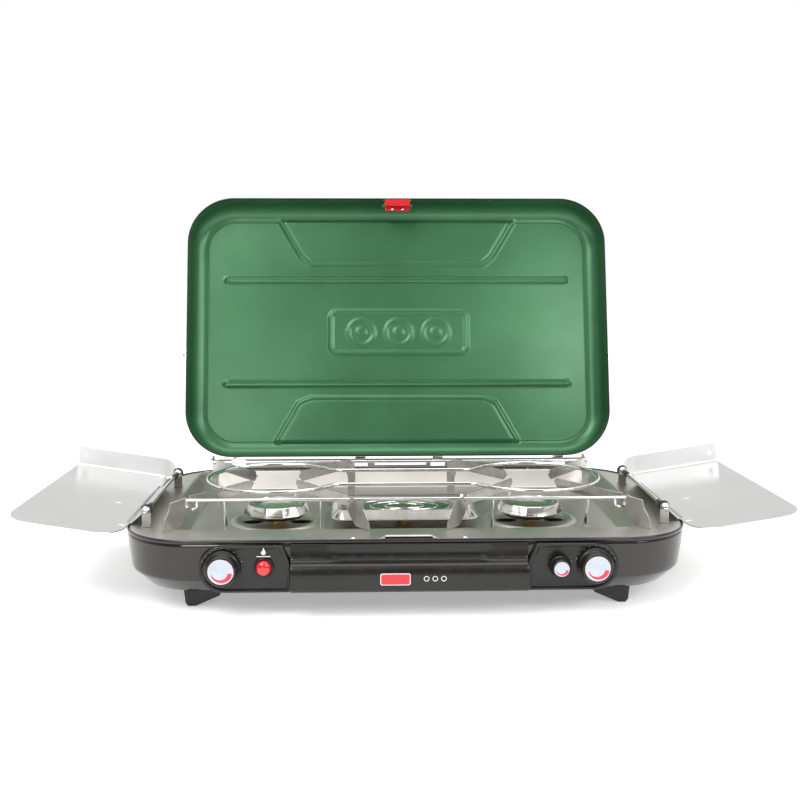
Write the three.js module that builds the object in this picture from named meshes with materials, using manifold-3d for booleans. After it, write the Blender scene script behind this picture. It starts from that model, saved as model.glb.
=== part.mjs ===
// Three-burner camping stove, shown in use: the lid leans back and both wind panels are folded out.
// Millimetres, +X to the right, +Y to the back, +Z up. The pieces are placed about the middle of the
// casing, with the feet at Z = 0, and the whole stove is then moved so that the origin is under the
// middle of its own box.
import * as THREE from "three";
import { mergeVertices } from "three/addons/utils/BufferGeometryUtils.js";
import Module from "manifold-3d";

// ---- Driving dimensions ----
const GAP = 0.3; // between pieces that touch
const SHEET = 1.2; // pressed steel sheet

const CASE = { width: 693, depth: 416, corner: 92, floor: 24, crease: 45, rim: 93 };
const FOOT_DROP = CASE.floor; // the feet reach from the casing's floor down to Z = 0
const DECK_TOP = 91.5;
const WELL = { halfX: 303, halfY: 176, midY: 24, corner: 40, floor: 66, slope: 23 };

const BURNER_X = 171; // side burners; the middle one is at X = 0
const BURNER_Y = -12;
const BURNER_TOP = 87.5;
const BURNER_RIM = 79.6;
const THROAT_BOTTOM = 55.4;

const GRATE_Z = 125.3; // middle of the ring wire
const RING_RADIUS = 90;
const RING_WIRE = 2.5;
const WAIST = 45; // the two straight wires run this far either side of the burners' line
const FRAME_WIRE = 2;
const FRAME_WIRE_Z = 122.8;
const FRAME_REACH = 119; // frame wires, from the burners' line
const BLADE = { length: 161, thick: 1.6, top: 128, under: 114, startX: 28, startY: 24 };
const BLADE_DIRECTION = new THREE.Vector2(0.6, 0.8);

const KNOB_X = 218;
const SMALL_KNOB_X = 176;
const KNOB_Z = 61;
const IGNITER = { x: -170, z: 61.3, radius: 9.1 };
const BEZEL = { inner: 139.6, outer: 218, bottom: 30, top: 87.5 };
const HANDLE_HALF = 139;
const INLET = { y: 60, z: 58 };

const LID = { halfX: 330.5, halfY: 205.5, corner: 72, rim: 94.4, deep: 45 };
const HINGE = { y: 213, z: 104.4, rod: 2 };
const LID_OPEN = THREE.MathUtils.degToRad(105.1); // from closed to leaning back
const CLIP_XS = [-248, -60, 60, 248];
const CLIP_HALF = 8;
const LATCH = { pivotY: -196.8, pivotZ: 110, half: 20, tip: 85, top: 113, thick: 2.8 };
const LATCH_NOTCH_Y = -190.5; // the latch catches under the deck here
const HOOK_Y = 47;

const WING = { rodX: 320, rodZ: 111.5, drop: 20.5, reach: 154, front: -187, back: 140, flange: 27.7 };
const WING_TILT = THREE.MathUtils.degToRad(8.9); // how far the open panel still slopes up
const WING_ROD = { radius: 2, front: -142, back: 96 };
const EAR_YS = [-134, 87];

const MIDDLE_Y = 59.7; // the open stove's box has its middle this far behind the casing's

// ---- Materials ----
const material = (color, roughness, metalness) =>
  new THREE.MeshStandardMaterial({ color, roughness, metalness });
const enamel = material(0x1a1917, 0.25, 0.3);
const blackPlastic = material(0x222120, 0.5, 0);
const lidGreen = material(0x3f7a50, 0.3, 0.4);
const satinSteel = material(0xa8a59c, 0.35, 0.9);
const panelSteel = material(0xc8c8c6, 0.35, 0.9);
const chrome = material(0xd8d8d8, 0.12, 1);
const polished = material(0xc0bdb6, 0.1, 1);
const brass = material(0xb98d4a, 0.3, 1);
const tubeSteel = material(0x8c8a84, 0.4, 0.8);
const redPlastic = material(0xc8202c, 0.35, 0);
const ceramic = material(0xe8e4da, 0.6, 0);
const darkSteel = material(0x4a4846, 0.4, 0.8);

// ---- Solid tools ----
const wasm = await Module();
wasm.setup();

// The geometry's triangles as a bare indexed mesh, turned to face out.
function bare(geometry) {
  const source = geometry.index ? geometry.toNonIndexed() : geometry;
  const flat = new THREE.BufferGeometry().setAttribute("position", source.getAttribute("position"));
  const merged = mergeVertices(flat, 1e-3);
  const p = merged.getAttribute("position");
  const index = [...merged.index.array];
  const kept = [];
  const [a, b, c] = [new THREE.Vector3(), new THREE.Vector3(), new THREE.Vector3()];
  let volume = 0;
  for (let i = 0; i < index.length; i += 3) {
    const [ia, ib, ic] = index.slice(i, i + 3);
    if (ia === ib || ib === ic || ia === ic) continue;
    kept.push(ia, ib, ic);
    a.fromBufferAttribute(p, ia);
    b.fromBufferAttribute(p, ib);
    c.fromBufferAttribute(p, ic);
    volume += a.dot(b.cross(c));
  }
  if (volume < 0) kept.reverse();
  merged.setIndex(kept);
  return merged;
}

function toSolid(geometry) {
  const mesh = bare(geometry);
  return new wasm.Manifold(
    new wasm.Mesh({
      numProp: 3,
      vertProperties: mesh.getAttribute("position").array,
      triVerts: new Uint32Array(mesh.index.array),
    }),
  );
}

function toGeometry(solid) {
  const mesh = solid.getMesh();
  return new THREE.BufferGeometry()
    .setAttribute("position", new THREE.BufferAttribute(mesh.vertProperties, 3))
    .setIndex(new THREE.BufferAttribute(mesh.triVerts, 1));
}

const join = (...pieces) => toGeometry(pieces.map(toSolid).reduce((a, b) => a.add(b)));
const common = (a, b) => toGeometry(toSolid(a).intersect(toSolid(b)));
const cut = (body, ...tools) =>
  toGeometry(tools.map(toSolid).reduce((left, tool) => left.subtract(tool), toSolid(body)));
const mirrored = (geometry) => bare(geometry.clone().scale(-1, 1, 1));

// ---- Shape tools ----
const axis = { x: new THREE.Vector3(1, 0, 0), y: new THREE.Vector3(0, 1, 0), z: new THREE.Vector3(0, 0, 1) };

const extruded = (shape, depth, curveSegments = 8) =>
  new THREE.ExtrudeGeometry(shape, { depth, bevelEnabled: false, curveSegments });
const asShape = (points) =>
  points instanceof THREE.Shape ? points : new THREE.Shape(points.map(([u, v]) => new THREE.Vector2(u, v)));

// An outline in X and Y, raised from z0 to z1.
const alongZ = (outline, z0, z1) => extruded(asShape(outline), z1 - z0).translate(0, 0, z0);
// An outline in Y and Z, run from x0 to x1.
const alongX = (outline, x0, x1) =>
  extruded(asShape(outline), x1 - x0)
    .applyMatrix4(new THREE.Matrix4().makeBasis(axis.y, axis.z, axis.x))
    .translate(x0, 0, 0);
// An outline in X and Z, run from y0 to y1.
const alongY = (outline, y0, y1) =>
  extruded(asShape(outline), y1 - y0)
    .applyMatrix4(new THREE.Matrix4().makeBasis(axis.x, axis.z, axis.y.clone().negate()))
    .translate(0, y1, 0);

const box = (x0, x1, y0, y1, z0, z1) =>
  new THREE.BoxGeometry(x1 - x0, y1 - y0, z1 - z0).translate((x0 + x1) / 2, (y0 + y1) / 2, (z0 + z1) / 2);

const rodY = (x, z, radius, y0, y1, sides = 16) =>
  new THREE.CylinderGeometry(radius, radius, y1 - y0, sides).translate(x, (y0 + y1) / 2, z);
const rodX = (y, z, radius, x0, x1, sides = 16) =>
  new THREE.CylinderGeometry(radius, radius, x1 - x0, sides).rotateZ(Math.PI / 2).translate((x0 + x1) / 2, y, z);
const rodZ = (x, y, radius, z0, z1, sides = 16) =>
  new THREE.CylinderGeometry(radius, radius, z1 - z0, sides).rotateX(Math.PI / 2).translate(x, y, (z0 + z1) / 2);

// A turned solid about Y from [radius, y] points that start and end on the axis.
const turned = (profile, sides = 28) =>
  new THREE.LatheGeometry(profile.map(([r, y]) => new THREE.Vector2(r, y)), sides);

// One level ring of a rounded rectangle.
function ring({ halfX, halfY, corner, z, midY = 0, steps = 7 }) {
  const points = [];
  const quarters = [[1, 1], [-1, 1], [-1, -1], [1, -1]];
  quarters.forEach(([sx, sy], quarter) => {
    for (let i = 0; i <= steps; i++) {
      const angle = ((quarter + i / steps) * Math.PI) / 2;
      points.push(
        new THREE.Vector3(
          sx * (halfX - corner) + corner * Math.cos(angle),
          midY + sy * (halfY - corner) + corner * Math.sin(angle),
          z,
        ),
      );
    }
  });
  return points;
}

// A closed skin through rings of equal point count; closed tubes join the last ring to the first.
function skin(rings, isTube = false) {
  const count = rings[0].length;
  const positions = rings.flatMap((points) => points.flatMap((p) => [p.x, p.y, p.z]));
  const index = [];
  const last = isTube ? rings.length : rings.length - 1;
  for (let level = 0; level < last; level++) {
    const low = level * count;
    const high = ((level + 1) % rings.length) * count;
    for (let i = 0; i < count; i++) {
      const next = (i + 1) % count;
      index.push(low + i, low + next, high + next, low + i, high + next, high + i);
    }
  }
  if (!isTube) {
    for (let i = 1; i < count - 1; i++) {
      const top = (rings.length - 1) * count;
      index.push(0, i + 1, i, top, top + i, top + i + 1);
    }
  }
  const geometry = new THREE.BufferGeometry();
  geometry.setAttribute("position", new THREE.Float32BufferAttribute(positions, 3));
  geometry.setIndex(index);
  return geometry;
}

// A round wire that follows a closed level path.
function loopWire(path, radius, z, sides = 8) {
  const rings = path.map((point, i) => {
    const before = path[(i + path.length - 1) % path.length];
    const after = path[(i + 1) % path.length];
    const along = after.clone().sub(before).normalize();
    const across = new THREE.Vector2(along.y, -along.x);
    return Array.from({ length: sides }, (_, k) => {
      const angle = (k / sides) * Math.PI * 2;
      const out = radius * Math.cos(angle);
      return new THREE.Vector3(point.x + across.x * out, point.y + across.y * out, z + radius * Math.sin(angle));
    });
  });
  return skin(rings, true);
}

// A round bar that follows an open path through points.
function bar(points, radius, steps, sides = 8) {
  const section = new THREE.Shape();
  section.absarc(0, 0, radius, 0, Math.PI * 2);
  const extrudePath = new THREE.CatmullRomCurve3(points.map((p) => new THREE.Vector3(...p)), false, "centripetal");
  return new THREE.ExtrudeGeometry(section, { extrudePath, steps, bevelEnabled: false, curveSegments: sides });
}

// ---- The stove as a scene graph ----
const stove = new THREE.Group();
stove.position.y = -MIDDLE_Y;

function add(name, geometry, look, parent = stove) {
  const mesh = new THREE.Mesh(bare(geometry), look);
  mesh.name = name;
  parent.add(mesh);
  return mesh;
}

// ---- Casing ----
const controls = [
  { name: "left", x: -KNOB_X, size: 1 },
  { name: "middle", x: SMALL_KNOB_X, size: 0.6 },
  { name: "right", x: KNOB_X, size: 1 },
];

function basePan() {
  const level = (inset, z) =>
    ring({ halfX: CASE.width / 2 - inset, halfY: CASE.depth / 2 - inset, corner: CASE.corner - inset, z });
  const foot = 27; // how far the floor is set in from the rim
  const draft = 5; // how far the crease is set in
  const pan = skin([
    level(foot, CASE.floor),
    level(draft, CASE.crease),
    level(0, CASE.rim - 3),
    level(0.6, CASE.rim),
    level(1.5, CASE.rim),
    level(1.5, CASE.rim - 3),
    level(draft + 1.5, CASE.crease + 0.6),
    level(foot + 0.8, CASE.floor + SHEET),
  ]);
  const stemHoles = controls.map(({ x }) => rodY(x, KNOB_Z, 5, -215, -190));
  const igniterHole = rodY(IGNITER.x, IGNITER.z, IGNITER.radius + 0.6, -215, -190, 24);
  const inletHole = rodX(INLET.y, INLET.z, 9.5, 335, 355, 20);
  return cut(pan, ...stemHoles, igniterHole, inletHole);
}

function cooktopDeck() {
  const edge = 2.1; // clearance of the deck's edge to the casing's rim
  const outer = (z) =>
    ring({ halfX: CASE.width / 2 - edge, halfY: CASE.depth / 2 - edge, corner: CASE.corner - edge, z });
  const well = (inset, z) =>
    ring({
      halfX: WELL.halfX - inset,
      halfY: WELL.halfY - inset,
      midY: WELL.midY,
      corner: WELL.corner - inset * 0.4,
      z,
    });
  const deck = skin([
    well(WELL.slope + 0.5, WELL.floor - SHEET),
    well(0.5, DECK_TOP - SHEET),
    outer(DECK_TOP - SHEET),
    outer(DECK_TOP),
    well(0, DECK_TOP),
    well(WELL.slope, WELL.floor),
  ]);
  const tools = [-BURNER_X, 0, BURNER_X].map((x) => rodZ(x, BURNER_Y, 12.5, 60, 72, 20));
  for (const x of [-BURNER_X, BURNER_X]) {
    for (const side of [-1, 1]) {
      tools.push(
        new THREE.CylinderGeometry(1, 1, 12, 16)
          .rotateX(Math.PI / 2)
          .scale(12, 6, 1)
          .translate(x + side * 32, BURNER_Y, WELL.floor),
      );
    }
  }
  const latchNotch = [[-27, LATCH_NOTCH_Y], [27, LATCH_NOTCH_Y], [38, -CASE.depth / 2], [-38, -CASE.depth / 2]];
  tools.push(alongZ(latchNotch, DECK_TOP - 5, DECK_TOP + 5));
  return cut(deck, ...tools);
}

function frontHandle() {
  const section = [
    [-208.4, 88.5], [-209.8, 87.8], [-210.6, 80], [-211.2, 74], [-213.5, 69.5], [-219, 67.2],
    [-223.5, 65], [-226, 61], [-227.3, 54], [-227.3, 42], [-226, 37], [-222.5, 33.5],
    [-216, 32.8], [-200.2, 33], [-204.2, 44],
  ];
  const fingerPocket = box(-88, 88, -221, -209.8, 60, 95);
  return cut(alongX(section, -HANDLE_HALF, HANDLE_HALF), fingerPocket);
}

// The plate behind the controls; side is -1 on the left and 1 on the right.
function controlBezel(side) {
  const round = (BEZEL.top - BEZEL.bottom) / 2;
  const outline = new THREE.Shape();
  outline.moveTo(BEZEL.inner, BEZEL.bottom);
  outline.lineTo(BEZEL.outer, BEZEL.bottom);
  outline.absarc(BEZEL.outer, BEZEL.bottom + round, round, -Math.PI / 2, Math.PI / 2);
  outline.lineTo(BEZEL.inner + 9.5, BEZEL.top);
  outline.lineTo(BEZEL.inner, BEZEL.top - 19);
  const section = [[-208.4, 90], [-213, 90], [-211, 28], [-196, 28.5], [-204.2, 44]];
  const blank = common(alongY(outline, -230, -180), alongX(section, BEZEL.inner - 1, BEZEL.outer + round + 1));
  const plate = side < 0 ? mirrored(blank) : blank;
  const holes = controls
    .filter(({ x }) => Math.sign(x) === side)
    .map(({ x }) => rodY(x, KNOB_Z, 4.6, -220, -190));
  if (side < 0) holes.push(rodY(IGNITER.x, IGNITER.z, IGNITER.radius + 0.5, -220, -190, 24));
  return cut(plate, ...holes);
}

// A wedge foot that slopes up towards the stove's middle.
function foot(side, y) {
  const outline = [[272, FOOT_DROP - GAP], [270, 4], [267, 0], [258, 0], [228, 13], [228, FOOT_DROP - GAP]];
  const wedge = alongY(outline, y - 14, y + 14);
  return side < 0 ? mirrored(wedge) : wedge;
}

add("base_pan", basePan(), enamel);
add("cooktop_deck", cooktopDeck(), satinSteel);
add("front_handle", frontHandle(), blackPlastic);
add("control_bezel_left", controlBezel(-1), blackPlastic);
add("control_bezel_right", controlBezel(1), blackPlastic);
for (const [end, y] of [["front", -153], ["rear", 153]]) {
  add(`foot_${end}_left`, foot(-1, y), blackPlastic);
  add(`foot_${end}_right`, foot(1, y), blackPlastic);
}

// ---- Burners and gas train ----
const burners = [
  { name: "left", x: -BURNER_X, valveX: -KNOB_X },
  { name: "middle", x: 0, valveX: SMALL_KNOB_X },
  { name: "right", x: BURNER_X, valveX: KNOB_X },
];
const BOSS_RADIUS = 11;

function roundBurnerCap() {
  const lip = BURNER_RIM;
  return turned([
    [0, lip + 0.4], [BOSS_RADIUS, lip + 0.4], [BOSS_RADIUS, BURNER_TOP - 1.5], [30, BURNER_TOP - 1.5],
    [43.4, lip], [45, lip], [45, lip + 1], [31, BURNER_TOP], [0, BURNER_TOP],
  ]).rotateX(Math.PI / 2);
}

function longBurnerCap() {
  const level = (grow, z) => ring({ halfX: 88 + grow, halfY: 44 + grow, corner: 9 + grow, z, steps: 3 });
  const shell = skin([
    level(-1, BURNER_TOP - 1.5),
    level(8, BURNER_RIM),
    level(9.5, BURNER_RIM),
    level(9.5, BURNER_RIM + 1),
    level(0, BURNER_TOP),
  ]);
  return join(shell, rodZ(0, 0, BOSS_RADIUS, BURNER_RIM + 0.4, BURNER_TOP - 0.5, 20));
}

const burnerThroat = () =>
  join(rodZ(0, 0, 10, THROAT_BOTTOM, BURNER_RIM + 0.1, 20), rodZ(0, 0, 11.6, 67.5, 72.5, 6));

// The valve's stem side is at the front, its outlet at the back.
const gasValve = () => join(rodY(0, 0, 8, -199, -186, 6), rodY(0, 0, 7.5, -186.5, -171, 14));

function gasInlet() {
  const outside = 354.5;
  return cut(
    turned([
      [0, 323], [9, 323], [9, 341.5], [8.6, 341.5], [8.6, 344.7], [11.5, 344.7], [11.5, 347.5], [9, 347.5], [9, outside],
      [0, outside],
    ], 20).rotateZ(-Math.PI / 2),
    rodX(0, 0, 5.5, 345.5, outside + 1),
  ).translate(0, INLET.y, INLET.z);
}

for (const { name, x, valveX } of burners) {
  const capShape = x === 0 ? longBurnerCap() : roundBurnerCap();
  add(`burner_cap_${name}`, capShape.translate(x, BURNER_Y, 0), polished);
  add(`burner_throat_${name}`, burnerThroat().translate(x, BURNER_Y, 0), brass);
  add(`gas_valve_${name}`, gasValve().translate(valveX, 0, KNOB_Z), brass);
  const tubeZ = THROAT_BOTTOM - 7.4;
  const route = [
    [valveX, -168.7, KNOB_Z],
    [valveX, -150, KNOB_Z - 6],
    [x * 0.6 + valveX * 0.4, -80, tubeZ],
    [x, -30, tubeZ],
    [x, -2, tubeZ],
  ];
  add(`mixing_tube_${name}`, bar(route, 7, 14, 5), tubeSteel);
}

add("gas_manifold", bar([
  [-226, -180, 46],
  [0, -180, 46],
  [215, -180, 46],
  [268, -166, 46],
  [302, -125, 47],
  [315, -60, 51],
  [317.5, 10, 56],
  [317.5, 58, INLET.z],
], 4.5, 22, 5), tubeSteel);
add("gas_inlet", gasInlet(), brass);

for (const [name, side] of [["left", -1], ["right", 1]]) {
  const [x, y] = [side * BURNER_X - side * 22, BURNER_Y + 50];
  const post = join(
    rodZ(x, y, 4, WELL.floor + GAP, 80, 12),
    rodZ(x, y, 1.2, 79.5, 92, 8),
    box(x - 1, x + 1, y - 9, y + 1, 90.5, 92.5),
  );
  add(`igniter_electrode_${name}`, post, ceramic);
}

// ---- Controls ----
function knob(size) {
  const faceY = -229;
  const backY = -213.6;
  return turned([
    [0, faceY + 1.2], [15.6 * size, faceY + 1.2], [15.6 * size, faceY], [17 * size, faceY],
    [18 * size, faceY + 1], [18.6 * size, backY - 5], [21.3 * size, backY - 3], [21.5 * size, backY],
    [3.6, backY], [3.6, -199.3], [0, -199.3],
  ]);
}
const igniterButton = () =>
  turned([[0, -221.5], [4.5, -221.2], [7.4, -219.6], [9.1, -216], [9.1, -206.2], [0, -206.2]], 24);

for (const { name, x, size } of controls) add(`knob_${name}`, knob(size).translate(x, 0, KNOB_Z), blackPlastic);
add("igniter_button", igniterButton().translate(IGNITER.x, 0, IGNITER.z), redPlastic);
add("igniter_body", rodY(IGNITER.x, IGNITER.z - 2.5, 8, -200.5, -162), blackPlastic);

// ---- Lid, its hinge and latch ----
function hingeBracket() {
  const half = 288.5;
  const plate = box(-half, half, 208.4, 209.6, 72, 105.8);
  const lug = alongX([[208.4, 94], [219, 94], [219, 110], [216, 112], [208.4, 112]], 286, half);
  const bores = [[-half - 1, -285], [285, half + 1]].map(([x0, x1]) => rodX(HINGE.y, HINGE.z, HINGE.rod + 0.35, x0, x1));
  const clipNotches = CLIP_XS.map((x) => box(x - CLIP_HALF - 3, x + CLIP_HALF + 3, 200, 220, 95.5, 120));
  const window = box(-38, 42, 205, 215, 97.2, 102.7);
  return cut(join(plate, lug, mirrored(lug)), ...bores, ...clipNotches, window);
}

const lidRod = () =>
  join(
    rodX(HINGE.y, HINGE.z, HINGE.rod, -290, 290, 12),
    rodX(HINGE.y, HINGE.z, 3.5, 289, 291.5, 12),
    rodX(HINGE.y, HINGE.z, 3.5, -291.5, -289, 12),
  );

add("lid_hinge_bracket", hingeBracket(), satinSteel);
add("lid_hinge_rod", lidRod(), chrome);

// The lid's pieces are drawn closed, about the hinge's axis, and the group leans them back.
const lid = new THREE.Group();
lid.position.set(0, HINGE.y, HINGE.z);
lid.rotation.x = -LID_OPEN;
stove.add(lid);
const aboutHinge = (geometry) => geometry.translate(0, -HINGE.y, -HINGE.z);

function lidShell() {
  const midY = HINGE.y - 5 - LID.halfY;
  const level = (inset, depth, thick = 0) =>
    ring({
      halfX: LID.halfX - inset - thick,
      halfY: LID.halfY - inset - thick,
      corner: LID.corner - inset - thick,
      midY,
      z: LID.rim + depth - (depth > 0 ? thick * (depth / LID.deep) : 0),
    });
  const walls = [[0, 0], [0.5, 4], [2, 20], [6, 32], [14, 41], [26, LID.deep]];
  const inside = walls.map(([inset, depth]) => level(inset, depth, SHEET)).reverse();
  const outside = walls.map(([inset, depth]) => level(inset, depth));
  return aboutHinge(skin([...inside, ...outside]));
}

function hingeClip(x) {
  const strap = new THREE.Shape();
  strap.absarc(0, 0, 3.6, 0, Math.PI * 2);
  const body = join(
    alongX(strap, x - CLIP_HALF, x + CLIP_HALF),
    box(x - CLIP_HALF, x + CLIP_HALF, -4.7, -3, -6.5, 6.5),
  );
  return cut(body, rodX(0, 0, HINGE.rod + 0.3, x - CLIP_HALF - 1, x + CLIP_HALF + 1));
}

function lidHook(side) {
  const plate = box(LID.halfX + GAP, LID.halfX + 1.6, HOOK_Y - 8, HOOK_Y + 8, 95, 106);
  const lip = box(LID.halfX + 1, LID.halfX + 6, HOOK_Y - 3, HOOK_Y + 3, 98, 99.5);
  const hook = join(plate, lip);
  return aboutHinge(side < 0 ? mirrored(hook) : hook);
}

const latchPivot = (radius, half) => rodX(LATCH.pivotY, LATCH.pivotZ, radius, -half, half, 12);

function lidLatch() {
  const [y0, y1] = [LATCH.pivotY - LATCH.thick / 2, LATCH.pivotY + LATCH.thick / 2];
  const lever = join(
    box(-LATCH.half, LATCH.half, y0, y1, LATCH.tip, LATCH.top),
    latchPivot(2.9, LATCH.half),
    box(-LATCH.half, LATCH.half, y0, y1 + 7, LATCH.tip, LATCH.tip + 3),
  );
  return aboutHinge(cut(lever, latchPivot(1.9, LATCH.half + 1)));
}

function latchPin() {
  const ear = box(LATCH.half + 0.6, LATCH.half + 3.6, -199.3, LATCH.pivotY + 3, LATCH.pivotZ - 3.5, LATCH.pivotZ + 2);
  return aboutHinge(join(latchPivot(1.5, LATCH.half + 3), ear, mirrored(ear)));
}

add("lid_shell", lidShell(), lidGreen, lid);
CLIP_XS.forEach((x, i) => add(`lid_hinge_clip_${i + 1}`, hingeClip(x), chrome, lid));
add("lid_hook_left", lidHook(-1), chrome, lid);
add("lid_hook_right", lidHook(1), chrome, lid);
add("latch_pin", latchPin(), chrome, lid);
add("lid_latch", lidLatch(), redPlastic, lid);

// ---- Wind panels ----
// Drawn level for the right side, about the hinge rod: X runs outwards, Z up from the rod's axis.
function wingPanel() {
  const [top, under] = [-WING.drop, -WING.drop - SHEET];
  const inner = 19;
  const backBend = 16; // the rear flange wraps round the inner corner on this radius
  const plateOutline = new THREE.Shape();
  plateOutline.moveTo(inner, WING.front + 47);
  plateOutline.quadraticCurveTo(inner, WING.front, inner + 38, WING.front);
  plateOutline.lineTo(WING.reach - 42, WING.front);
  plateOutline.quadraticCurveTo(WING.reach + 3, WING.front, WING.reach + 3, WING.front + 44);
  plateOutline.lineTo(WING.reach, WING.back);
  plateOutline.lineTo(inner + backBend, WING.back);
  plateOutline.absarc(inner + backBend, WING.back - backBend, backBend, Math.PI / 2, Math.PI);
  const plate = alongZ(plateOutline, under, top);

  const flangeOutline = new THREE.Shape();
  flangeOutline.moveTo(WING.reach, WING.back);
  const [wrap, wrapEnd] = [32, THREE.MathUtils.degToRad(147)]; // the flange wraps on past the plate
  flangeOutline.absarc(inner + backBend, WING.back - wrap, wrap, Math.PI / 2, wrapEnd);
  flangeOutline.absarc(inner + backBend, WING.back - wrap, wrap - SHEET, wrapEnd, Math.PI / 2, true);
  flangeOutline.lineTo(WING.reach, WING.back - SHEET);
  const blank = alongZ(flangeOutline, top - 0.5, top + WING.flange);
  const sweptUp = [[0, top - 2], [27, top - 2], [25, top], [8, top + 8], [0, top + 8]];
  const rounded = [[0, -2], [8, -1], [14, 4.5], [24, 7.5], [24, 9], [0, 9]];
  const flange = cut(blank, ...[sweptUp, rounded].map((outline) => alongY(outline, 100, 145)));

  // The inner edge turns up to the rod and curls round it at both ends.
  const turnUp = [
    [24, -under], [17, -under], [8, 10], [3.2, 1], [4.6, 1], [9.2, 9.2], [17.6, -top], [24, -top],
  ].map(([u, w]) => [u, -w]);
  const edge = alongY(turnUp, WING_ROD.front + 16, WING_ROD.back - 16);
  const curls = [[-124, -106], [60, 78]].map(([y0, y1]) =>
    cut(rodY(0, 0, 3.9, y0, y1), rodY(0, 0, WING_ROD.radius + 0.35, y0 - 1, y1 + 1)),
  );

  const keyhole = join(
    rodY(WING.reach - 11, -7, 4, WING.back - 5, WING.back + 5, 12),
    box(WING.reach - 12.5, WING.reach - 9.5, WING.back - 5, WING.back + 5, -7, 0.5),
  );
  const slots = [[53, -41], [26, -141]].map(([u, y]) => box(u - 3.4, u + 3.4, y - 1.8, y + 1.8, under - 1, top + 1));
  return cut(join(plate, flange, edge, ...curls), keyhole, ...slots);
}

function hingeEar(side, y) {
  const half = 5.5;
  const seat = DECK_TOP + GAP;
  const outline = new THREE.Shape();
  outline.moveTo(-half, seat);
  outline.lineTo(half, seat);
  outline.lineTo(half, WING.rodZ);
  outline.absarc(0, WING.rodZ, half, 0, Math.PI);
  const tab = join(alongY(outline, y - 1.2, y + 1.2), box(-half, half, y - 6, y + 6, seat, seat + 1.6));
  return cut(tab, rodY(0, WING.rodZ, WING_ROD.radius + 0.35, y - 9, y + 9)).translate(side * WING.rodX, 0, 0);
}

for (const [name, side] of [["left", -1], ["right", 1]]) {
  const wing = new THREE.Group();
  wing.position.set(side * WING.rodX, 0, WING.rodZ);
  wing.rotation.y = -side * WING_TILT;
  stove.add(wing);
  const panel = wingPanel();
  add(`wind_panel_${name}`, side < 0 ? mirrored(panel) : panel, panelSteel, wing);
  const rod = join(
    rodY(0, 0, WING_ROD.radius, WING_ROD.front, WING_ROD.back),
    rodY(0, 0, 4.2, WING_ROD.front, WING_ROD.front + 4),
    rodY(0, 0, 4.2, WING_ROD.back - 4, WING_ROD.back),
  );
  add(`wind_panel_rod_${name}`, rod, chrome, wing);
  ["front", "rear"].forEach((end, i) => add(`panel_hinge_ear_${name}_${end}`, hingeEar(side, EAR_YS[i]), darkSteel));
}

// ---- Pan support ----
// One wire makes both rings: two arcs joined by straight runs that pass either side of the middle.
function ringPath() {
  const meet = Math.asin(WAIST / RING_RADIUS);
  const ease = THREE.MathUtils.degToRad(7);
  const straightX = BURNER_X - RING_RADIUS * Math.cos(meet) - 10;
  const path = [];
  for (const side of [1, -1]) {
    const centre = new THREE.Vector2(side * BURNER_X, BURNER_Y);
    const from = (side > 0 ? Math.PI : 0) + meet + ease;
    const sweep = 2 * (Math.PI - meet - ease);
    const segments = 26;
    const arc = Array.from({ length: segments + 1 }, (_, i) => {
      const angle = from + (sweep * i) / segments;
      return new THREE.Vector2(
        centre.x + RING_RADIUS * Math.cos(angle),
        centre.y + RING_RADIUS * Math.sin(angle),
      );
    });
    const corner = (up) => new THREE.Vector2(side * (straightX + 10), BURNER_Y + up * WAIST);
    const onStraight = (up) => new THREE.Vector2(side * straightX, BURNER_Y + up * WAIST);
    const bendIn = new THREE.QuadraticBezierCurve(onStraight(-side), corner(-side), arc[0]);
    const bendOut = new THREE.QuadraticBezierCurve(arc[segments], corner(side), onStraight(side));
    path.push(...bendIn.getPoints(3).slice(0, -1), ...arc, ...bendOut.getPoints(3).slice(1));
  }
  return path;
}

function frameWire(isFront) {
  const y = BURNER_Y + (isFront ? -FRAME_REACH : FRAME_REACH);
  const half = 256;
  const z = FRAME_WIRE_Z;
  const hook = [[half, y, z], [half + 2.5, y, z - 3], [half + 3, y, z - 9], [half + 8.5, y, z - 12]];
  const otherHook = hook.map(([x, hookY, hookZ]) => [-x, hookY, hookZ]).reverse();
  const wire = bar([...otherHook, [-half + 3, y, z], [0, y, z], [half - 3, y, z], ...hook], FRAME_WIRE, 40, 4);
  if (!isFront) return wire;
  const legs = [-225, -107, 107, 225].map((x) => box(x - 0.8, x + 0.8, y, y + 30, WELL.floor + 3.2, z));
  return join(wire, ...legs);
}

// A support blade: U runs out along it from beside the burner, the foot is at its outer end.
function blade(isFront) {
  const { length, thick, top, under } = BLADE;
  const front = [
    [0, top - 5], [8, under], [length - 48, under], [length - 41, under - 10], [length - 28, DECK_TOP + GAP],
    [length, DECK_TOP + GAP], [length - 4, 105], [length - 12, 116], [length - 14, top - 3], [length - 34, top - 2],
    [length - 40, top], [3, top],
  ];
  const rear = [
    [0, top - 5], [8, under], [104, under], [110, 100], [110, WELL.floor + GAP], [124, WELL.floor + GAP],
    [126, 100], [124, top - 3], [114, top], [3, top],
  ];
  const sheet = alongX(isFront ? front : rear, -thick / 2, thick / 2);
  const ringAt = 53.6;
  const wireAt = (FRAME_REACH - BLADE.startY) / BLADE_DIRECTION.y;
  return cut(
    sheet,
    box(-2, 2, ringAt - 3.6, ringAt + 3.6, GRATE_Z - RING_WIRE - GAP, top + 1),
    box(-2, 2, wireAt - 3.4, wireAt + 3.4, FRAME_WIRE_Z - FRAME_WIRE - GAP, top + 1),
  );
}

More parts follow.
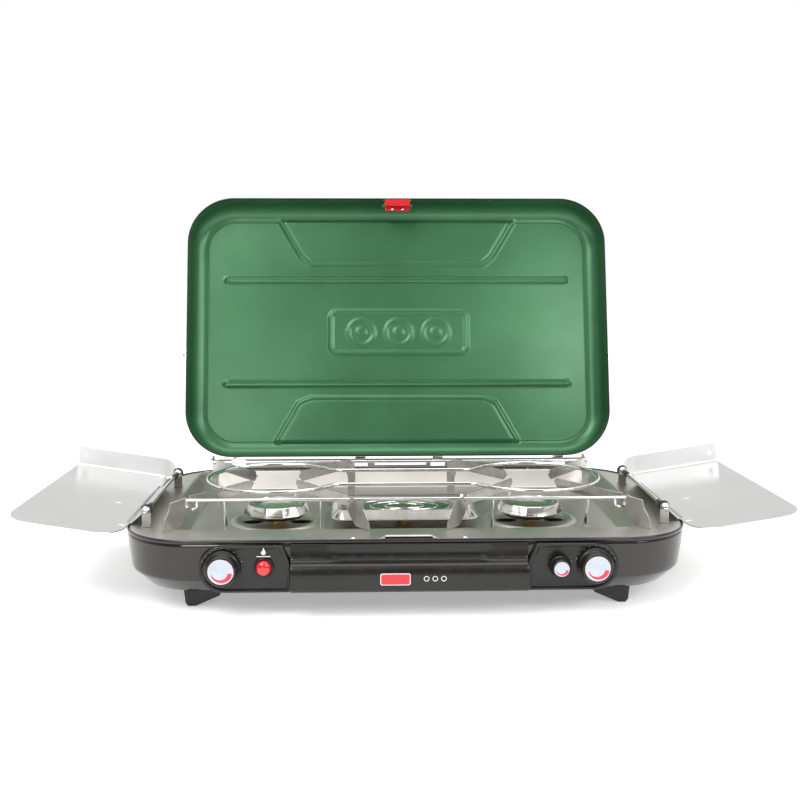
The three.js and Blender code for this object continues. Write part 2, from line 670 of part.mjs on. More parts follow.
add("grate_ring_wire", loopWire(ringPath(), RING_WIRE, GRATE_Z), chrome);
add("grate_front_wire", frameWire(true), chrome);
add("grate_rear_wire", frameWire(false), chrome);
for (const [ringName, ringSide] of [["left", -1], ["right", 1]]) {
  for (const [xName, sx] of [["left", -1], ["right", 1]]) {
    for (const [yName, sy] of [["front", -1], ["rear", 1]]) {
      const angle = Math.atan2(-sx * BLADE_DIRECTION.x, sy * BLADE_DIRECTION.y);
      const start = [ringSide * BURNER_X + sx * BLADE.startX, BURNER_Y + sy * BLADE.startY, 0];
      const mesh = add(`grate_blade_${ringName}_ring_${yName}_${xName}`, blade(sy < 0), chrome);
      mesh.rotation.z = angle;
      mesh.position.set(...start);
    }
  }
}

export default stove;
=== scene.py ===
"""Looks for the three-burner camping stove. Lengths in the helpers are millimetres about the middle of the
casing, +X right, +Y back, +Z up; place() turns them into the frame's metres."""
import math

import bmesh
import bpy
import numpy as np
from mathutils import Matrix, Vector


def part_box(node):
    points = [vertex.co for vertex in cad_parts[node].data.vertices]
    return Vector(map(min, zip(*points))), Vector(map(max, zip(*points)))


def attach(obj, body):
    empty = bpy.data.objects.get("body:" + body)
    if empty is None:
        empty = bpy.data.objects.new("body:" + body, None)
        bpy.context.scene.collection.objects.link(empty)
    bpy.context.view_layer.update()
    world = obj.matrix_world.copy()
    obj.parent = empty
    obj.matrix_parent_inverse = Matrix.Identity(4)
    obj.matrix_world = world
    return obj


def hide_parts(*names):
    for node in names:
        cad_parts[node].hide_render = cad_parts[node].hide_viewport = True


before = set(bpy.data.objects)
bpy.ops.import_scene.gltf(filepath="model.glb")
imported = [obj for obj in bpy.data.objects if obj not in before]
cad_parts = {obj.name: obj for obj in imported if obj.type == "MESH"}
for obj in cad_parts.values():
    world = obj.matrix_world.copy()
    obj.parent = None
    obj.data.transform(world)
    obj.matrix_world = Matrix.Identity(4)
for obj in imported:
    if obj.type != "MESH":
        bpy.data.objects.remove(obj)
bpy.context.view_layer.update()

low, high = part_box("base_pan")
MIDDLE_Y = (low.y + high.y) * 500

HINGE_Y, HINGE_Z = 213, 104.4
LID_OPEN = math.radians(105.1)
WING_X, WING_Z = 320, 111.5
WING_TILT = math.radians(8.9)
BURNER_Y = -12
BURNER_X = 171
AIR_HOLE_X = 32
KNOB_Z, KNOB_FRONT = 61, -229
KNOBS = (("left", -218, 1.0), ("middle", 176, 0.6), ("right", 218, 1.0))
SIDES = (("left", -1), ("right", 1))

# half width, half depth and corner radius of the casing and of the lid, and the lid's middle and rim
BASE_X, BASE_Y, BASE_CORNER = 346.5, 208, 92
LID_X, LID_Y, LID_CORNER = 330.5, 205.5, 72
LID_MIDDLE, LID_RIM_Z = 2.5, 94.4
PANEL_TOP, PANEL_UNDER = -20.5, -21.7


# ---- Placing ----
def place(p):
    return Vector((p[0], p[1] + MIDDLE_Y, p[2])) * 0.001


def leaning(p):
    """A point of the closed lid, leant back with it."""
    y, z = p[1] - HINGE_Y, p[2] - HINGE_Z
    c, s = math.cos(LID_OPEN), -math.sin(LID_OPEN)
    return place((p[0], HINGE_Y + y * c - z * s, HINGE_Z + y * s + z * c))


def on_wing(side):
    """Points of a level panel, (outwards, y, up) from its rod, tilted as it rests."""
    c, s = math.cos(WING_TILT), math.sin(WING_TILT)

    def put(p):
        return place((side * (WING_X + p[0] * c - p[2] * s), p[1], WING_Z + p[0] * s + p[2] * c))

    return put


# ---- Shader tools ----
class Shader:
    def __init__(self, name, color, rough, metal=0.0, **sockets):
        self.mat = bpy.data.materials.new(name)
        self.mat.use_nodes = True
        self.nodes = self.mat.node_tree.nodes
        self.links = self.mat.node_tree.links
        self.out = self.nodes["Principled BSDF"]
        self.set(self.out, "Base Color", (*color, 1))
        self.set(self.out, "Roughness", rough)
        self.set(self.out, "Metallic", metal)
        for key, value in sockets.items():
            self.set(self.out, key.replace("_", " "), value)
        self.coords = self.nodes.new("ShaderNodeTexCoord").outputs["Object"]
        self.height = None

    def set(self, node, socket, value):
        if isinstance(value, bpy.types.NodeSocket):
            self.links.new(value, node.inputs[socket])
        else:
            node.inputs[socket].default_value = value

    def stretched(self, scale):
        node = self.nodes.new("ShaderNodeMapping")
        self.set(node, "Vector", self.coords)
        self.set(node, "Scale", scale)
        return node.outputs[0]

    def noise(self, scale, detail=4.0, rough=0.5, stretch=(1, 1, 1)):
        node = self.nodes.new("ShaderNodeTexNoise")
        self.set(node, "Vector", self.stretched(stretch))
        self.set(node, "Scale", scale)
        self.set(node, "Detail", detail)
        self.set(node, "Roughness", rough)
        return node.outputs["Fac"]

    def math(self, kind, a, b=0.0, c=0.0):
        node = self.nodes.new("ShaderNodeMath")
        node.operation = kind
        for i, value in enumerate((a, b, c)):
            self.set(node, i, value)
        return node.outputs[0]

    def ramp(self, value, from_low, from_high, to_low=0.0, to_high=1.0):
        node = self.nodes.new("ShaderNodeMapRange")
        self.set(node, "Value", value)
        self.set(node, "From Min", from_low)
        self.set(node, "From Max", from_high)
        self.set(node, "To Min", to_low)
        self.set(node, "To Max", to_high)
        return node.outputs[0]

    def mix(self, factor, a, b):
        node = self.nodes.new("ShaderNodeMix")
        node.data_type = "RGBA"
        self.set(node, "Factor", factor)
        # inputs 6 and 7 are the node's two colours
        for index, color in ((6, a), (7, b)):
            linked = isinstance(color, bpy.types.NodeSocket)
            self.set(node, index, color if linked else (*color, 1))
        return node.outputs[2]

    def bump(self, value, depth, strength=1.0):
        node = self.nodes.new("ShaderNodeBump")
        self.set(node, "Height", value)
        self.set(node, "Distance", depth)
        self.set(node, "Strength", strength)
        if self.height is not None:
            self.set(node, "Normal", self.height)
        self.height = node.outputs[0]
        self.set(self.out, "Normal", self.height)

    def xyz(self):
        node = self.nodes.new("ShaderNodeSeparateXYZ")
        self.set(node, 0, self.coords)
        return node.outputs


def coated_sheet(name, dark, light, rough, grain, **sockets):
    """Paint or enamel on pressed steel: a little colour drift, orange peel and handling marks."""
    s = Shader(name, dark, rough, **sockets)
    s.set(s.out, "Base Color", s.mix(s.ramp(s.noise(9, 3), 0.3, 0.7), dark, light))
    marks = s.noise(60, 6, 0.6)
    s.set(s.out, "Roughness", s.ramp(marks, 0.3, 0.75, rough - 0.02, rough + 0.03))
    s.bump(s.noise(grain, 1), 0.000012, 0.5)
    return s


def rolled_steel(name, dark, light, rough, along, lines=0.00002):
    """Satin sheet with its fine rolling lines along one direction, and faint smudges."""
    s = Shader(name, dark, rough, 1.0)
    fine = s.noise(1, 5, 0.6, along)
    smudge = s.noise(12, 4, 0.55)
    s.set(s.out, "Base Color", s.mix(s.ramp(smudge, 0.3, 0.7), dark, light))
    blend = s.math("MULTIPLY_ADD", smudge, 0.5, s.math("MULTIPLY", fine, 0.5))
    s.set(s.out, "Roughness", s.ramp(blend, 0.3, 0.7, rough - 0.06, rough + 0.08))
    s.bump(fine, lines, 0.5)
    return s


def plated(name, dark, light, rough, wear=0.06):
    s = Shader(name, dark, rough, 1.0)
    patches = s.noise(55, 5, 0.6)
    s.set(s.out, "Base Color", s.mix(s.ramp(patches, 0.35, 0.7), light, dark))
    s.set(s.out, "Roughness", s.ramp(patches, 0.3, 0.75, rough, rough + wear))
    s.bump(s.noise(400, 2), 0.00001, 0.3)
    return s


def moulded(name, dark, light, rough, grain=900, depth=0.00004, **sockets):
    s = Shader(name, dark, rough, **sockets)
    s.set(s.out, "Base Color", s.mix(s.ramp(s.noise(14, 4), 0.3, 0.7), dark, light))
    s.set(s.out, "Roughness", s.ramp(s.noise(70, 5), 0.3, 0.7, rough - 0.05, rough + 0.07))
    s.bump(s.noise(grain, 2), depth, 0.4)
    return s


enamel = coated_sheet("black_enamel", (0.013, 0.011, 0.010), (0.020, 0.017, 0.015), 0.12, 160,
                      Coat_Weight=0.25, Coat_Roughness=0.05, Specular_IOR_Level=0.38)
green = coated_sheet("green_paint", (0.032, 0.132, 0.052), (0.046, 0.168, 0.072), 0.35, 220,
                     Coat_Weight=0.2, Coat_Roughness=0.22)
green.set(green.out, "Metallic", 0.5)
# near black matt sheet for the discs in the deck's air holes: painted shade seen down the holes
hole_painted_shade = coated_sheet("hole_painted_shade", (0.003, 0.003, 0.003), (0.006, 0.006, 0.006), 0.9, 160,
                         Specular_IOR_Level=0.05)
deck_steel = rolled_steel("deck_steel", (0.40, 0.385, 0.355), (0.48, 0.46, 0.425), 0.38, (14, 900, 14))
panel_steel = rolled_steel("panel_steel", (0.55, 0.545, 0.54), (0.60, 0.595, 0.59), 0.2, (900, 12, 900),
                           0.00001)
# the flange is the panel's own sheet, drawn paler and less metallic than the plate because it faces the
# lamps: painted light
flange_painted_light = rolled_steel("flange_painted_light", (0.76, 0.76, 0.76), (0.82, 0.82, 0.82), 0.3, (900, 12, 900),
                            0.00001)
flange_painted_light.set(flange_painted_light.out, "Metallic", 0.25)
bracket_steel = rolled_steel("bracket_steel", (0.34, 0.33, 0.31), (0.42, 0.405, 0.38), 0.36, (12, 900, 900))
chrome = plated("bright_wire", (0.62, 0.62, 0.61), (0.80, 0.80, 0.79), 0.10)
blade_steel = plated("blade_steel", (0.52, 0.51, 0.49), (0.68, 0.67, 0.65), 0.2)
mirror = plated("burner_mirror", (0.48, 0.46, 0.43), (0.62, 0.60, 0.56), 0.12)
brass = plated("brass", (0.52, 0.33, 0.11), (0.68, 0.46, 0.18), 0.22)
tube = rolled_steel("tube_steel", (0.25, 0.24, 0.22), (0.36, 0.35, 0.33), 0.4, (60, 60, 60))
# near black for the sheet's curls round the panel rods, which are the plate's own steel: painted shade along
# the rod
dark_steel = plated("dark_steel", (0.075, 0.07, 0.065), (0.16, 0.15, 0.14), 0.28)
black_plastic = moulded("black_plastic", (0.010, 0.0095, 0.009), (0.016, 0.015, 0.014), 0.24,
                        Specular_IOR_Level=0.35)
foot_plastic = moulded("foot_plastic", (0.013, 0.013, 0.013), (0.02, 0.02, 0.02), 0.48)
red_plastic = moulded("red_plastic", (0.50, 0.012, 0.016), (0.60, 0.02, 0.022), 0.16, Coat_Weight=0.5)
ceramic = moulded("ceramic", (0.72, 0.69, 0.62), (0.80, 0.78, 0.72), 0.25)
white_ink = moulded("white_ink", (0.75, 0.75, 0.75), (0.82, 0.82, 0.82), 0.4)
badge_red = moulded("badge_red", (0.55, 0.02, 0.025), (0.62, 0.03, 0.035), 0.3)


def knob_face():
    """The printed disc on a knob, about its own middle: pale blue-grey, pink edge, red arc that swells."""
    s = Shader("knob_face", (0.42, 0.47, 0.55), 0.28, Coat_Weight=0.3)
    xyz = s.xyz()
    x, z = xyz[0], xyz[2]
    radius = s.math("SQRT", s.math("ADD", s.math("MULTIPLY", x, x), s.math("MULTIPLY", z, z)))
    turn = s.math("ARCTAN2", z, x)
    # 0 at the left end of the arc, 1 at its right end, by way of the bottom
    along = s.ramp(turn, math.radians(-165), math.radians(-8))
    width = s.ramp(along, 0.0, 0.85, 0.0005, 0.0026)
    offset = s.math("ABSOLUTE", s.math("SUBTRACT", radius, 0.0110))
    in_band = s.math("LESS_THAN", offset, width)
    inside = s.math("MULTIPLY", s.math("GREATER_THAN", along, 0.001), s.math("LESS_THAN", along, 0.999))
    arc = s.math("MULTIPLY", in_band, inside)
    edge = s.math("GREATER_THAN", radius, 0.0141)
    base = s.mix(s.ramp(s.noise(80, 4), 0.3, 0.7), (0.40, 0.45, 0.53), (0.50, 0.55, 0.62))
    with_edge = s.mix(edge, base, (0.78, 0.62, 0.64))
    s.set(s.out, "Base Color", s.mix(arc, with_edge, (0.62, 0.015, 0.06)))
    s.bump(s.noise(700, 2), 0.00002, 0.3)
    return s


face = knob_face()


# ---- Mesh tools ----
def add_bevel(obj, width, segments, angle):
    """Rounds the edges sharper than an angle in degrees, by a width in millimetres."""
    m = obj.modifiers.new("edges", "BEVEL")
    m.width = width * 0.001
    m.segments = segments
    m.limit_method = "ANGLE"
    m.angle_limit = math.radians(angle)
    return m


def piece(name, verts, faces, shader, body, slot, put=place, sharp=35, replaces=(), thick=0.0, bevel=0.0,
          origin=None, weld=False):
    """A mesh from millimetre points, riding on a body."""
    points = [put(v) for v in verts]
    centre = place(origin) if origin else Vector((0, 0, 0))
    mesh = bpy.data.meshes.new(name)
    mesh.from_pydata([p - centre for p in points], [], [list(f) for f in faces])
    if weld:
        bm = bmesh.new()
        bm.from_mesh(mesh)
        bmesh.ops.remove_doubles(bm, verts=bm.verts, dist=1e-6)
        bmesh.ops.recalc_face_normals(bm, faces=bm.faces)
        bm.to_mesh(mesh)
        bm.free()
    mesh.polygons.foreach_set("use_smooth", [True] * len(mesh.polygons))
    mesh.set_sharp_from_angle(angle=math.radians(sharp))
    mesh.materials.append(shader.mat)
    obj = bpy.data.objects.new(name, mesh)
    bpy.context.scene.collection.objects.link(obj)
    obj.location = centre
    if thick:
        m = obj.modifiers.new("thickness", "SOLIDIFY")
        m.thickness = thick * 0.001
        m.offset = -1
    if bevel:
        add_bevel(obj, bevel, 2, 40).harden_normals = True
    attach(obj, body)
    if replaces:
        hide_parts(*replaces)
    return obj


def loft(rings, ends=True, closed=False):
    """Faces through rings of equal length."""
    n = len(rings[0])
    verts = [p for ring in rings for p in ring]
    faces = []
    count = len(rings) if closed else len(rings) - 1
    for k in range(count):
        a, b = k * n, ((k + 1) % len(rings)) * n
        faces += [(a + i, a + (i + 1) % n, b + (i + 1) % n, b + i) for i in range(n)]
    if ends and not closed:
        faces.append(tuple(reversed(range(n))))
        faces.append(tuple(range((len(rings) - 1) * n, len(rings) * n)))
    return verts, faces


def around(n):
    """n angles evenly spaced round a full turn."""
    return np.linspace(0, 2 * math.pi, n + 1)[:-1]


def bezier(a, b, c, n):
    """n points along a quadratic curve from a to c, pulled towards b."""
    return [tuple((1 - t) ** 2 * np.array(a) + 2 * t * (1 - t) * np.array(b) + t * t * np.array(c))
            for t in np.linspace(0, 1, n)]


def turned_y(profile, x, z, n=64, wave=None):
    """Turned about an axis along Y through (x, z); profile is [radius, y]."""
    rings = []
    for r, y in profile:
        ring = []
        for i in range(n):
            a = 2 * math.pi * i / n
            rr = r + (wave(r, y, a) if wave else 0)
            ring.append((x + rr * math.cos(a), y, z + rr * math.sin(a)))
        rings.append(ring)
    return loft(rings)


def turned_z(profile, x, y, n=48):
    return loft([[(x + r * math.cos(2 * math.pi * i / n), y + r * math.sin(2 * math.pi * i / n), z)
                  for i in range(n)] for r, z in profile])


def wire(path, radius, n=14, closed=False):
    """A round wire along millimetre points."""
    pts = [Vector(p) for p in path]
    m = len(pts)
    rings = []
    normal = Vector((0, 0, 1))
    for i, p in enumerate(pts):
        if closed:
            t = pts[(i + 1) % m] - pts[(i - 1) % m]
        else:
            t = pts[min(i + 1, m - 1)] - pts[max(i - 1, 0)]
        t.normalize()
        if abs(t.dot(normal)) > 0.98:
            normal = Vector((0, 1, 0))
        side = t.cross(normal).normalized()
        up = side.cross(t).normalized()
        if not closed:
            normal = up
        rings.append([tuple(p + side * (radius * math.cos(2 * math.pi * k / n)) +
                            up * (radius * math.sin(2 * math.pi * k / n))) for k in range(n)])
    return loft(rings, ends=not closed, closed=closed)


def smooth_path(points, per=8):
    """A Catmull-Rom run through points."""
    p = [Vector(q) for q in points]
    p = [p[0] * 2 - p[1]] + p + [p[-1] * 2 - p[-2]]
    out = []
    for i in range(1, len(p) - 2):
        for k in range(per):
            t = k / per
            out.append(0.5 * ((2 * p[i]) + (p[i + 1] - p[i - 1]) * t
                              + (2 * p[i - 1] - 5 * p[i] + 4 * p[i + 1] - p[i + 2]) * t * t
                              + (3 * p[i] - p[i - 1] - 3 * p[i + 1] + p[i + 2]) * t ** 3))
    out.append(p[-2])
    return [tuple(q) for q in out]


def prism(outline, axis, d0, d1):
    """An outline run along an axis: 'x' takes (y, z), 'y' takes (x, z), 'z' takes (x, y)."""
    at = "xyz".index(axis)
    return loft([[(*p[:at], d, *p[at:]) for p in outline] for d in (d0, d1)])


def arc(cx, cy, r, a0, a1, n=12):
    return [(cx + r * math.cos(math.radians(a0 + (a1 - a0) * i / n)),
             cy + r * math.sin(math.radians(a0 + (a1 - a0) * i / n))) for i in range(n + 1)]


def merged(*parts):
    verts, faces = [], []
    for v, f in parts:
        k = len(verts)
        verts += list(v)
        faces += [tuple(i + k for i in face_) for face_ in f]
    return verts, faces


NH = 14  # steps from a corner's side to its diagonal, in trays and their rings


def loop(hx, hy, r, cy=0, nx=40, ny=24):
    """A rounded rectangle's points, anticlockwise from the right side's lower end."""
    def corner(cx, cy_, turn):
        steps = [math.asin((j / NH) / math.sqrt(2)) for j in range(NH + 1)]
        steps += [math.pi / 2 - a for a in reversed(steps[:-1])]
        return [(cx + r * math.cos(a + turn), cy_ + r * math.sin(a + turn)) for a in steps]

    x, y = hx - r, hy - r
    pts = []
    for turn, cx, cyy, n, step in ((0, x, cy + y, ny, (0, -1)), (math.pi / 2, -x, cy + y, nx, (1, 0)),
                                   (math.pi, -x, cy - y, ny, (0, 1)), (-math.pi / 2, x, cy - y, nx, (-1, 0))):
        start = corner(cx, cyy, turn)
        length = 2 * (y if step[0] == 0 else x)
        side = [(start[0][0] + step[0] * length * (1 - k / n), start[0][1] + step[1] * length * (1 - k / n))
                for k in range(n)]
        pts += side + start[:-1]
    return pts


def tray(hx, hy, r, cy, height, rings, nx, ny):
    """A pressed sheet: a fine floor whose height is height(x, y), and rings out from its edge.
    Each ring is (hx, hy, r, cy, z)."""
    def column(i, n, h, rr):
        if i < NH:
            return -1, (NH - i) / NH, 0
        if i > NH + n:
            return 1, (i - NH - n) / NH, 0
        return 0, 0, -(h - rr) + 2 * (h - rr) * (i - NH) / n

    cols, rows = 2 * NH + nx + 1, 2 * NH + ny + 1
    grid = np.zeros((cols, rows, 2))
    for i in range(cols):
        sx, a, x = column(i, nx, hx, r)
        for j in range(rows):
            sy, b, y = column(j, ny, hy, r)
            grid[i, j, 0] = sx * ((hx - r) + r * a * math.sqrt(1 - b * b / 2)) if sx else x
            grid[i, j, 1] = cy + (sy * ((hy - r) + r * b * math.sqrt(1 - a * a / 2)) if sy else y)
    z = height(grid[..., 0], grid[..., 1])
    verts = [(grid[i, j, 0], grid[i, j, 1], z[i, j]) for i in range(cols) for j in range(rows)]

    def at(i, j):
        return i * rows + j

    faces = [(at(i, j), at(i + 1, j), at(i + 1, j + 1), at(i, j + 1))
             for i in range(cols - 1) for j in range(rows - 1)]
    edge = [at(cols - 1, j) for j in range(NH, rows)]
    edge += [at(i, rows - 1) for i in range(cols - 2, -1, -1)]
    edge += [at(0, j) for j in range(rows - 2, -1, -1)]
    edge += [at(i, 0) for i in range(1, cols)]
    edge += [at(cols - 1, j) for j in range(1, NH)]
    last = edge
    for hx2, hy2, r2, cy2, zz in rings:
        ring = loop(hx2, hy2, r2, cy2, nx, ny)
        start = len(verts)
        verts += [(x, y, zz(x, y) if callable(zz) else zz) for x, y in ring]
        new = list(range(start, start + len(ring)))
        n = len(new)
        faces += [(last[k], new[k], new[(k + 1) % n], last[(k + 1) % n]) for k in range(n)]
        last = new
    return verts, faces


def smoothstep(d, low_, high_):
    t = np.clip((d - low_) / (high_ - low_), 0, 1)
    return t * t * (3 - 2 * t)


def from_polygon(x, y, corners):
    """Signed distance to a polygon, negative inside."""
    best = np.full(np.shape(x), 1e9)
    inside = np.zeros(np.shape(x), bool)
    for (ax, ay), (bx, by) in zip(corners, corners[1:] + corners[:1]):
        ex, ey = bx - ax, by - ay
        wx, wy = x - ax, y - ay
        t = np.clip((wx * ex + wy * ey) / (ex * ex + ey * ey), 0, 1)
        best = np.minimum(best, np.hypot(wx - ex * t, wy - ey * t))
        crosses = ((ay <= y) != (by <= y)) & (wx < ex * wy / (ey if ey else 1e-9))
        inside ^= crosses
    return np.where(inside, -best, best)


def from_box(x, y, cx, cy, hx, hy, r):
    qx, qy = np.abs(x - cx) - hx + r, np.abs(y - cy) - hy + r
    return np.hypot(np.maximum(qx, 0), np.maximum(qy, 0)) + np.minimum(np.maximum(qx, qy), 0) - r


# ---- Casing ----
def make_base():
    # each level is how far the wall stands in from the casing's outline, and its height
    levels = [(40, 24), (30, 24), (27, 24.4), (24.5, 25.7), (8, 41.4), (6.2, 43.4), (5.2, 46), (4.9, 49),
              (2.4, 68), (0.9, 84), (1.0, 86.2), (1.9, 87.2), (1.9, 87.9), (0.5, 88.7), (0.05, 90),
              (0.1, 91.4), (0.7, 92.6), (1.6, 93), (2.4, 92.5), (2.7, 91.3), (2.6, 88), (4.4, 70), (7, 46)]
    rings = []
    for inset, z in levels:
        outline = loop(BASE_X - inset, BASE_Y - inset, max(BASE_CORNER - inset, 20), 0, 60, 32)
        rings.append([(x, y, z) for x, y in outline])
    verts, faces = loft(rings, ends=False)
    faces.append(tuple(reversed(range(len(rings[0])))))
    piece("base_shell", verts, faces, enamel, "casing", "black_enamel", sharp=50, replaces=["base_pan"])


def floor_height(x, y):
    """The deck's well: a raised land at the back, a raised ring with two air holes under each side burner,
    and a shallow well under the middle one."""
    z = np.full(np.shape(x), 66.0)
    land = from_box(x, y, 6, 104, 118, 84, 12)
    for side in (-1, 1):
        away = np.hypot(x - side * BURNER_X, y - 24) - 92
        land = np.maximum(land, -away)
    z += 3.2 * smoothstep(-land, -2.5, 2.5)
    for side in (-1, 1):
        d = np.hypot(x - side * BURNER_X, y - BURNER_Y)
        z += 2.6 * smoothstep(d, 50, 54) * smoothstep(62 - d, 0, 5)
        z -= 1.6 * smoothstep(50 - d, 0, 4)
        for k in (-1, 1):
            hole = np.hypot((x - side * BURNER_X - k * AIR_HOLE_X) / 13.4, (y - BURNER_Y) / 8)
            z -= 7 * smoothstep(1.05 - hole, -0.08, 0.08)
    long_well = from_box(x, y, 0, BURNER_Y, 104, 52, 14)
    z -= 1.8 * smoothstep(-long_well, -2, 2)
    return z


def in_notch(corners):
    """Whether a face lies in the deck's front notch, where the latch comes down."""
    middle_x = sum(p[0] for p in corners) / len(corners)
    middle_y = sum(p[1] for p in corners) / len(corners)
    return max(p[1] for p in corners) < -190.3 and abs(middle_x) < 27 - 0.63 * (middle_y + 190.5)


def make_deck():
    rings = [(281.5, 154.5, 31.4, 24, 66.6), (283.5, 156.5, 32.2, 24, 68.2), (301, 174, 39.2, 24, 88.6),
             (302.6, 175.6, 39.9, 24, 90.6), (304.6, 177.6, 40.6, 24, 91.4), (306.5, 179.5, 41.4, 24, 91.5),
             (320, 190, 60, 10, 91.5), (328, 196, 71, 5.5, 91.5), (335, 199, 80, 2, 91.5),
             (341.9, 203.4, 88, 0, 91.5), (343.1, 204.6, 89, 0, 91.2), (343.5, 205, 89.4, 0, 90.4),
             (343.5, 205, 89.4, 0, 88)]
    verts, faces = tray(280, 153, 30.8, 24, floor_height, rings, 236, 118)
    faces = [f for f in faces if not in_notch([verts[i] for i in f])]
    piece("deck", verts, faces, deck_steel, "casing", "satin_steel", sharp=60, replaces=["cooktop_deck"],
          thick=0.9)
    # the air holes are pressed dimples with a near black disc laid in each: painted shade for the dark casing
    # seen through them
    for name, side in SIDES:
        for tag, k in (("a", -1), ("b", 1)):
            x = side * BURNER_X + k * AIR_HOLE_X
            hole = [(x + 13 * math.cos(a), BURNER_Y + 7.7 * math.sin(a), 64.75) for a in around(32)]
            piece(f"air_hole_shade_{name}_{tag}", hole, [tuple(range(32))], hole_painted_shade, "casing", "black_plastic")
    edge = prism([(-27, 88.7), (27, 88.7), (27, 91.45), (-27, 91.45)], "y", -191.2, -190.6)
    piece("notch_edge", *edge, foot_plastic, "casing", "black_plastic", weld=True)
    rivet = [(0.01, 91.3), (3.2, 91.3), (3.2, 92), (2.4, 92.8), (1, 93.2), (0.01, 93.3)]
    for i, x in enumerate((-66, 66)):
        piece(f"deck_rivet_{i + 1}", *turned_z(rivet, x, -198, 20), chrome, "casing", "chrome")


def make_handle():
    """The carry handle: one section run along X, smaller at its ends, hollowed above for the fingers."""
    front, middle_z = -208.4, 58
    hollow_from, hollow_to = 66, 87.5
    section = [(-208.4, 88.2), (-209.6, 87.9), (-210.4, 82), (-211, 75), (-212.2, 71.2), (-214.5, 69),
               (-218, 67.6), (-221.5, 66.4), (-224.4, 64.2), (-226.2, 60.5), (-227.1, 54), (-227.3, 46),
               (-226.8, 40), (-225.4, 36.2), (-222.6, 33.8), (-218, 33), (-200.2, 33), (-204.4, 44)]
    stations = [(-139, False), (-137.8, True)]
    stations += [(x, True) for x in np.linspace(-136, 136, 56)]
    stations += [(137.8, True), (139, False)]
    rings = []
    for x, full in stations:
        ring = []
        scoop = float(smoothstep(np.array(95 - abs(x)), 0, 14))
        for y, z in section:
            yy, zz = y, z
            if not full:
                yy = front + (y - front) * 0.965 if y < front else y
                zz = middle_z + (z - middle_z) * 0.97
            if hollow_from < z < hollow_to:
                yy += scoop * 3.0 * math.sin(math.pi * (z - hollow_from) / 22)
            ring.append((x, yy, zz))
        rings.append(ring)
    handle = piece("handle_bar", *loft(rings), black_plastic, "casing", "black_plastic", sharp=48,
                   replaces=["front_handle"], bevel=0.8)
    handle.modifiers["edges"].harden_normals = False


def make_bezels():
    middle_x, middle_z = 185, 58.75
    outline = [(139.6, 31.4), (141, 30)] + arc(218, middle_z, 28.75, -90, 90, 24)
    outline += [(150, 87.5), (148.4, 86.8), (140.4, 70), (139.6, 67.5)]
    # each step is how far the rim is drawn in, and how far out it stands between wall and face
    steps = ((0, 0), (0, 0.55), (0.35, 0.85), (1.0, 1.0), (3.2, 1.0), (4.2, 0.78), (5.4, 0.74))
    for name, side in SIDES:
        turned = outline if side > 0 else [(-x, z) for x, z in reversed(outline)]
        rings = []
        for grow, lift in steps:
            ring = []
            for x, z in turned:
                dx, dz = x - side * middle_x, z - middle_z
                inner_x = x - math.copysign(min(grow, abs(dx)), dx) * min(abs(dx) / 20, 1)
                inner_z = z - math.copysign(min(grow, abs(dz)), dz)
                wall = -207.9 + (80 - z) * 0.11 if z < 44 else -208.2
                front = -212.6 + (90 - z) * 0.028
                ring.append((inner_x, wall + (front - wall) * lift, inner_z))
            rings.append(ring)
        verts, faces = loft(rings, ends=False)
        n = len(turned)
        faces.append(tuple(range((len(rings) - 1) * n, len(rings) * n)))
        piece(f"bezel_{name}", verts, faces, black_plastic, "casing", "black_plastic", sharp=30, weld=True,
              replaces=[f"control_bezel_{name}"])


def make_badge():
    """A plain red plate with a pale rim, and three small rings in place of lettering."""
    for inset, proud, shader, tag in ((0, 0, white_ink, "rim"), (0.9, 0.25, badge_red, "plate")):
        outline = loop(17.5 - inset, 7 - inset, 2.6 - inset * 0.6, 0, 4, 3)
        rings = [[(-17 + x, -227.2 - d - proud, 50.5 + z) for x, z in outline] for d in (0, 0.5)]
        piece(f"badge_{tag}", *loft(rings), shader, "casing", "red_plastic", weld=True)
    for i in range(3):
        rings = [[(19 + 10 * i + r * math.cos(a), -227.75, 51 + r * math.sin(a)) for a in around(32)]
                 for r in (3.2, 2.4)]
        piece(f"ring_mark_{i + 1}", *loft(rings, ends=False), white_ink, "casing", "white_ceramic",
              thick=0.15)


